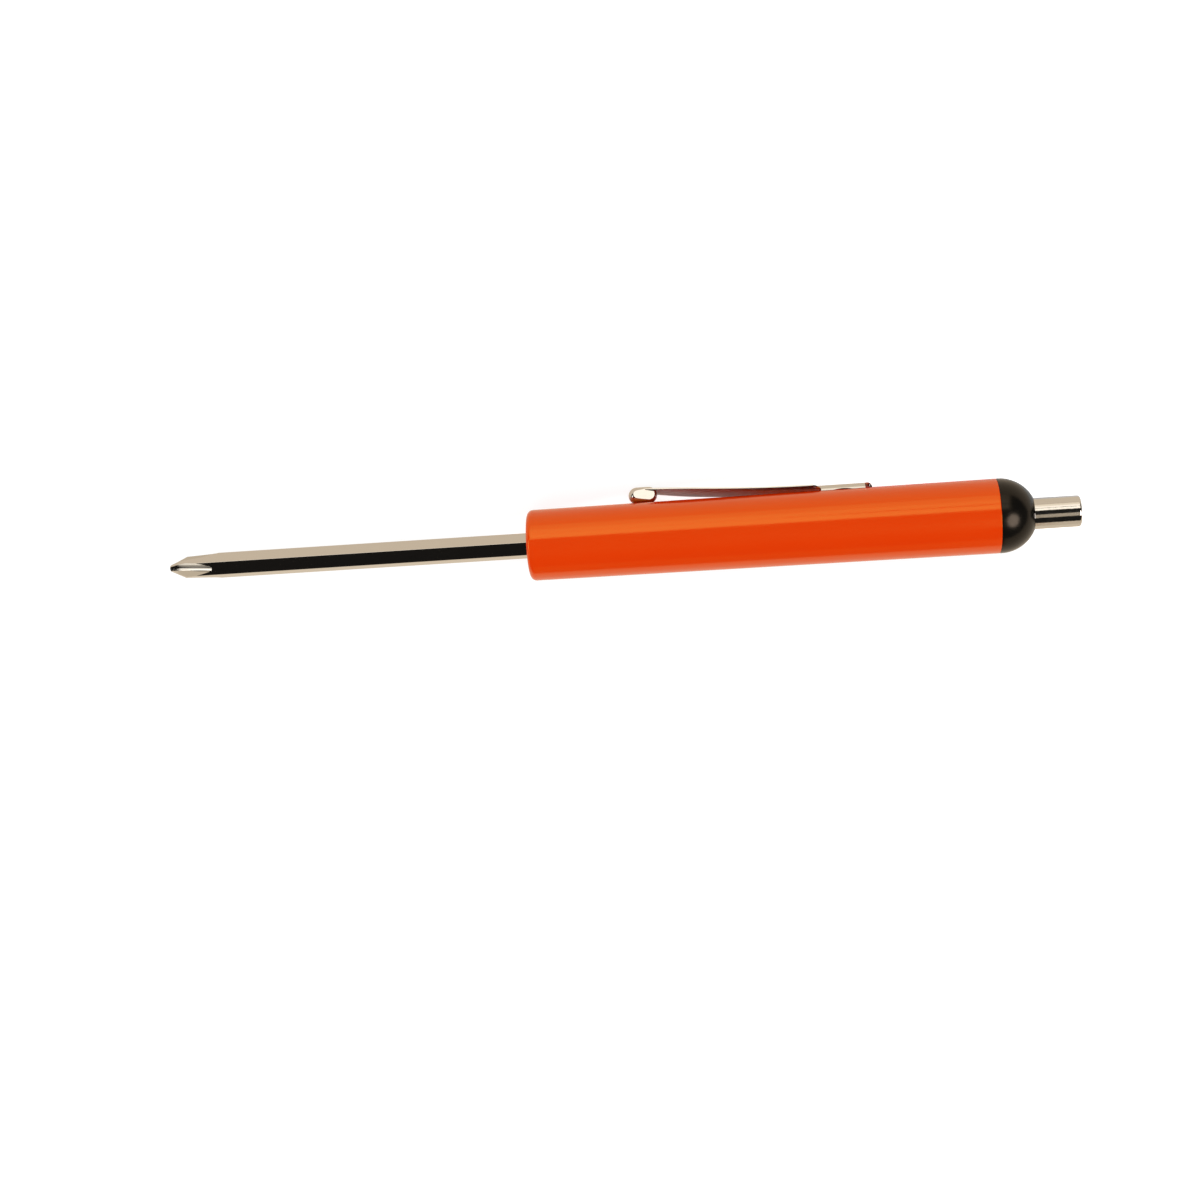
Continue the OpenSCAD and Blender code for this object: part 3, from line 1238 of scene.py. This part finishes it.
    def build(self) -> Object:
        """Stamp and form the clip.

        Returns:
            The finished piece, which rides on no body.
        """
        bm = self.blank()
        for vert in bm.verts:
            vert.co = self.formed(vert.co / MM) * MM
        bmesh.ops.recalc_face_normals(bm, faces=bm.faces[:])
        bmesh.ops.solidify(bm, geom=bm.faces[:], thickness=self.sheet * MM)
        self.shear_tail(bm)
        crisp = [e for e in bm.edges if e.is_manifold and e.calc_face_angle(0) > self.crisp_angle]
        rounded(bm, crisp, self.edge_round, facets=2, clamp=True)
        bm = self.shop.carved(
            bm,
            [(self.seat(), "DIFFERENCE"), (self.notch(), "DIFFERENCE"), (self.ball(), "UNION")],
        )
        moved(bm, self.shop.layout.lie_down)
        clip = self.shop.put_away(
            bm, "pocket_clip", self.finish, Slot.CLIP, ["clip_arm", "clip_saddle"], None
        )
        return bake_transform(clip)


@dataclass
class EndCap:
    """Domed black cap with the spigot that plugs the barrel."""

    shop: Workshop
    band: float = 0.3
    band_round: float = 0.12
    spigot_d: float = 8.5
    spigot_chamfer: float = 0.5
    bore_d: float = 4.64
    bore_depth: float = 8.02
    finish: Finish = field(
        default_factory=lambda: MouldedPlastic(
            "satin_moulded_black_plastic",
            colour="0C0B0A",
            deep_colour="11100D",
            sheen_tint="E8D4BE",
            roughness=0.22,
            wave_height_mm=0.01,
            ior=1.35,
        )
    )

    def build(self) -> Object:
        """Turn the cap and seat it on the handle.

        Returns:
            The finished piece.
        """
        at = self.shop.layout
        radius, centre = at.rear_r, at.rear_x - self.band
        face_r = math.sqrt(radius**2 - (centre - at.dome_x) ** 2)
        sweep = math.degrees(math.atan2(centre - at.dome_x, face_r))
        bore_x, bore_r = at.dome_x + self.bore_depth, self.bore_d / 2
        spigot_r, chamfer = self.spigot_d / 2, self.spigot_chamfer
        outline = HalfOutline().through(
            (bore_x, 0.0), (bore_x, bore_r), (at.dome_x, bore_r), (at.dome_x, face_r)
        )
        outline.arc(centre, sweep, steps=24).through(
            (at.rear_x, radius, self.band_round),
            (at.rear_x, spigot_r),
            (at.cap_inner_x - chamfer, spigot_r),
            (at.cap_inner_x, spigot_r - chamfer),
            (at.cap_inner_x, 0.0),
        )
        return self.shop.put_away(
            outline.turned(), "dome_cap", self.finish, Slot.CAP, ["end_cap"], Body.HANDLE
        )


@dataclass
class MagnetPost:
    """Plated round post on the cap, and the magnet that it holds."""

    shop: Workshop
    cup_d: float = 5.4
    rim_round: float = 0.4
    lip_round: float = 0.08
    tail_d: float = 4.6
    bore_d: float = 4.04
    magnet_d: float = 4.0
    magnet_edge: float = 0.1
    gap: float = 0.02
    cup_finish: Finish = field(
        default_factory=lambda: PlatedSteel(
            "nickel_plate_on_turned_cup",
            roughness=0.1,
            grain_mm=(0.22, 0.22, 0.22),
            grain_height_mm=0.005,
        )
    )
    magnet_finish: Finish = field(
        default_factory=lambda: PlatedSteel(
            "ground_magnet_alloy",
            tint="807E7B",
            roughness=0.35,
            grain_mm=(0.05, 0.05, 1.5),
            grain_height_mm=0.002,
        )
    )

    def cup(self) -> Object:
        """Turn the cup and seat it on the handle.

        Returns:
            The finished piece.
        """
        at = self.shop.layout
        floor, shoulder = at.magnet_inner_x + self.gap, at.dome_x - self.gap
        outline = HalfOutline().through(
            (floor, 0.0),
            (floor, self.bore_d / 2),
            (0.0, self.bore_d / 2, self.lip_round),
            (0.0, self.cup_d / 2, self.rim_round),
            (shoulder, self.cup_d / 2),
            (shoulder, self.tail_d / 2),
            (at.cup_inner_x, self.tail_d / 2),
            (at.cup_inner_x, 0.0),
        )
        bm = outline.turned(steps=128)
        return self.shop.put_away(
            bm, "magnet_post", self.cup_finish, Slot.CUP, ["magnet_cup"], Body.HANDLE
        )

    def magnet(self) -> Object:
        """Grind the round magnet and seat it on the handle.

        Returns:
            The finished piece.
        """
        inner, radius = self.shop.layout.magnet_inner_x, self.magnet_d / 2
        outline = HalfOutline().through(
            (0.0, 0.0),
            (0.0, radius, self.magnet_edge),
            (inner, radius, self.magnet_edge),
            (inner, 0.0),
        )
        bm = outline.turned(steps=128)
        return self.shop.put_away(
            bm, "magnet_slug", self.magnet_finish, Slot.MAGNET, ["magnet"], Body.HANDLE
        )


@dataclass(frozen=True)
class SoftBox:
    """A soft light that leans over the tool.

    The rise is the angle from the camera's side towards the top of the picture, the
    aside is the angle from there towards the tool's tip, and the height is the angle
    that the light spans as seen from the tool. The rest is in metres.
    """

    name: str
    rise: float
    height: float
    radiance: float
    colour: str = "FFFFFF"
    distance: float = 0.7
    width: float = 0.77
    along: float = 0.0
    aside: float = 0.0
    round_face: bool = False
    shows_in_gloss: bool = True
    lights_matt: bool = False

    def hang(self, target: Vector, view_lean: float) -> Object:
        """Hang the light so that it faces a point.

        Args:
            target: The point, in metres.
            view_lean: The camera's own lean from straight up.

        Returns:
            The light.
        """
        depth = 2 * self.distance * math.tan(math.radians(self.height / 2))
        lamp = bpy.data.lights.new(self.name, "AREA")
        lamp.shape = "ELLIPSE" if self.round_face else "RECTANGLE"
        lamp.size, lamp.size_y = self.width, depth
        share = math.pi / 4 if self.round_face else 1.0
        lamp.energy = self.radiance * math.pi * self.width * depth * share
        lamp.color = hex_to_linear(self.colour)[:3]
        light = bpy.data.objects.new(self.name, lamp)
        bpy.context.scene.collection.objects.link(light)
        over, lean = Layout.toward(view_lean + self.rise), math.radians(self.aside)
        tipward = Vector((1, 0, 0))
        back = over * math.cos(lean) + tipward * math.sin(lean)
        right = tipward * math.cos(lean) - over * math.sin(lean)
        axes = Matrix((right, back.cross(right), back)).transposed().to_4x4()
        place = target + back * self.distance + right * self.along
        light.matrix_world = Matrix.Translation(place) @ axes
        light.visible_camera = False
        light.visible_glossy = self.shows_in_gloss
        light.visible_diffuse = self.lights_matt
        return light


@dataclass(frozen=True)
class Flag:
    """Cloth bent round the tool, seen only in its gloss.

    The outline gives places along X from the aimed point and distances from the axis,
    in metres, and the cloth is swung from one rise to the other.
    """

    name: str
    rise_from: float
    rise_to: float
    outline: tuple[tuple[float, float], ...]
    cloth: StudioCloth = StudioCloth("black_velvet")
    facets: int = 24

    def hang(self, target: Vector, view_lean: float) -> Object:
        """Hang the cloth round a point of the tool's axis.

        Args:
            target: The point, in metres.
            view_lean: The camera's own lean from straight up.

        Returns:
            The cloth.
        """
        start = Layout.toward(view_lean + self.rise_from)
        bm = bmesh.new()
        verts = [bm.verts.new(target + Vector((x, 0, 0)) + start * r) for x, r in self.outline]
        edges = [bm.edges.new(pair) for pair in zip(verts, verts[1:])]
        bmesh.ops.spin(
            bm,
            geom=[*verts, *edges],
            cent=(0, 0, 0),
            axis=(1, 0, 0),
            angle=math.radians(self.rise_to - self.rise_from),
            steps=self.facets,
            use_duplicate=False,
        )
        hung = Workshop.loose(bm, self.name)
        hung.data.materials.append(self.cloth.material())
        for rays in ("camera", "diffuse", "transmission", "shadow"):
            setattr(hung, f"visible_{rays}", False)
        return hung


@dataclass
class Studio:
    """Camera, paper, lights, flags and world of the product picture.

    The camera stands square over a point of the tool and then turns a little. Its turns
    are in radians, and its distance and what is measured on the tool in millimetres.
    """

    layout: Layout
    aim_behind_nose: float = 39.7
    distance: float = 348.7
    view_past_clip: float = 105.0
    yaw: float = 0.0799
    pitch: float = 0.02935
    roll: float = -0.0633
    lens_mm: float = 60.0
    sensor_mm: float = 36.0
    # The paper, and how far from the aimed point the middle of its painted-shadow strip lies, in
    # metres
    paper_size: float = 8.0
    shadow_strip_back: float = 0.0215
    sky_seen: float = 1.0
    sky_light: float = 0.88
    sky_gloss_tone: str = "F3E2C9"

    @property
    def view_lean(self) -> float:
        """The camera's lean from straight up towards -Y, in degrees."""
        return math.degrees(self.layout.clip_turn) - self.view_past_clip

    @property
    def aim(self) -> Vector:
        """The point on the tool's axis that the camera stands square to."""
        return Vector(((self.layout.nose_x - self.aim_behind_nose) * MM, 0, 0))

    def camera(self) -> None:
        """Stand the camera where the picture was taken from."""
        back = Layout.toward(self.view_lean)
        right = Vector((-1, 0, 0))
        axes = Matrix((right, -back.cross(right), -back))
        turn = Matrix.Rotation(self.roll, 3, "Z")
        turn = turn @ Matrix.Rotation(self.pitch, 3, "X") @ Matrix.Rotation(self.yaw, 3, "Y")
        right, down, ahead = turn @ axes
        data = bpy.data.cameras.new("camera")
        data.lens, data.sensor_width = self.lens_mm, self.sensor_mm
        data.sensor_fit = "HORIZONTAL"
        data.clip_start, data.clip_end = 0.01, 50.0
        camera = bpy.data.objects.new("camera", data)
        bpy.context.scene.collection.objects.link(camera)
        turned = Matrix((right, -down, -ahead)).transposed().to_4x4()
        camera.matrix_world = Matrix.Translation(self.aim + back * self.distance * MM) @ turned
        bpy.context.scene.camera = camera

    def paper(self) -> None:
        """Lay the white paper under the tool."""
        bm = bmesh.new()
        bmesh.ops.create_grid(bm, x_segments=2, y_segments=2, size=self.paper_size / 2)
        moved(bm, Matrix.Translation((self.aim.x, 0, self.layout.floor_z)))
        floor = Workshop.loose(bm, "paper")
        sheet = WhitePaper("matt_white_paper", strip_middle_x=self.aim.x - self.shadow_strip_back)
        floor.data.materials.append(sheet.material())

    def world(self) -> None:
        """Make the world white to look at, and dimmer as a light."""
        world = bpy.data.worlds.new("white_room")
        bpy.context.scene.world = world
        world.use_nodes = True
        tree = world.node_tree
        tree.nodes.clear()
        inputs = {"Value": seen_rays(tree), "To Min": self.sky_light, "To Max": self.sky_seen}
        strength = add_node(tree, "ShaderNodeMapRange", inputs).outputs[0]
        inputs = {"Color": warm_in_gloss(tree, self.sky_gloss_tone), "Strength": strength}
        sky = add_node(tree, "ShaderNodeBackground", inputs)
        add_node(tree, "ShaderNodeOutputWorld", {"Surface": sky.outputs[0]})

    def build(self) -> None:
        """Set up the whole studio."""
        bpy.context.scene.view_settings.view_transform = "Standard"
        self.camera()
        self.paper()
        self.world()
        strip = {"colour": "FFFDF7", "along": 0.035}
        near_box = {"distance": 0.174, "width": 0.036, "aside": 66.2}
        closed_end = ((-0.9, 0.5), (-0.9, 0.05))
        tip_end = ((0.9, 0.5), (0.9, 0.05))
        tan_cloth = StudioCloth("tan_cloth", colour="C08850")
        stands = (
            # Soft boxes, each with its rise, height and radiance. First the three
            # strips that make the band of light on the barrel.
            SoftBox("key_low_strip", 28.0, 15.0, 1.1, **strip),
            SoftBox("key_middle_strip", 43.5, 14.5, 0.93, **strip),
            SoftBox("key_high_strip", 58.5, 15.0, 0.52, **{**strip, "colour": "FFF8E9"}),
            # What the flutes of the cross tip mirror
            SoftBox("tip_low_box", -30.0, 15.6, 1.2, "FFF9ED", **near_box),
            SoftBox("tip_high_box", 3.0, 15.6, 2.3, "FFFAEF", **near_box),
            # The round spot on the cap, the light side of the post, and a light for
            # what is matt
            SoftBox(
                "round_lamp", -19.5, 34.5, 8.3, "FFF7F3", 0.47, 0.29, aside=-38.0, round_face=True
            ),
            SoftBox("post_card", -22.0, 23.0, 0.63, "FFECD1", 0.49, 0.045, aside=-14.9),
            SoftBox(
                "overhead", -8.0, 60.0, 0.5, width=1.2, shows_in_gloss=False, lights_matt=True
            ),
            # Flags, each with its two rises. These give the metal its dark sides.
            Flag("front_flag", -76.0, 20.0, ((0.9, 0.05), (0.9, 0.5), *closed_end)),
            Flag("rear_flag", 20.0, 80.0, ((-0.32, 0.5), *closed_end)),
            Flag("tip_flag", 20.0, 52.0, ((0.44, 0.5), *tip_end)),
            Flag("tip_low_flag", -104.0, -76.0, ((0.14, 0.5), (0.9, 0.5))),
            # A boom that draws a thin dark line in the band, and the desk's tan edge
            Flag("lamp_boom", 34.8, 37.2, ((-0.03, 0.66), (-0.34, 0.66))),
            Flag("desk_edge", -104.0, -76.0, ((-0.112, 0.5), (0.14, 0.5)), tan_cloth),
        )
        for stand in stands:
            stand.hang(self.aim, self.view_lean)


def main() -> None:
    """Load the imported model, set up the studio and dress the tool."""
    logging.basicConfig(level=logging.INFO, format="%(name)s: %(message)s")
    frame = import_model()
    layout = Layout.from_frame(frame)
    Studio(layout).build()
    shop = Workshop(layout)
    post = MagnetPost(shop)
    makers = (
        Barrel(shop).build,
        Blade(shop).build,
        PocketClip(shop).build,
        EndCap(shop).build,
        post.cup,
        post.magnet,
    )
    for make in makers:
        piece = make()
        LOG.info("%s: %d faces", piece.name, len(piece.data.polygons))


if __name__ == "__main__":
    main()
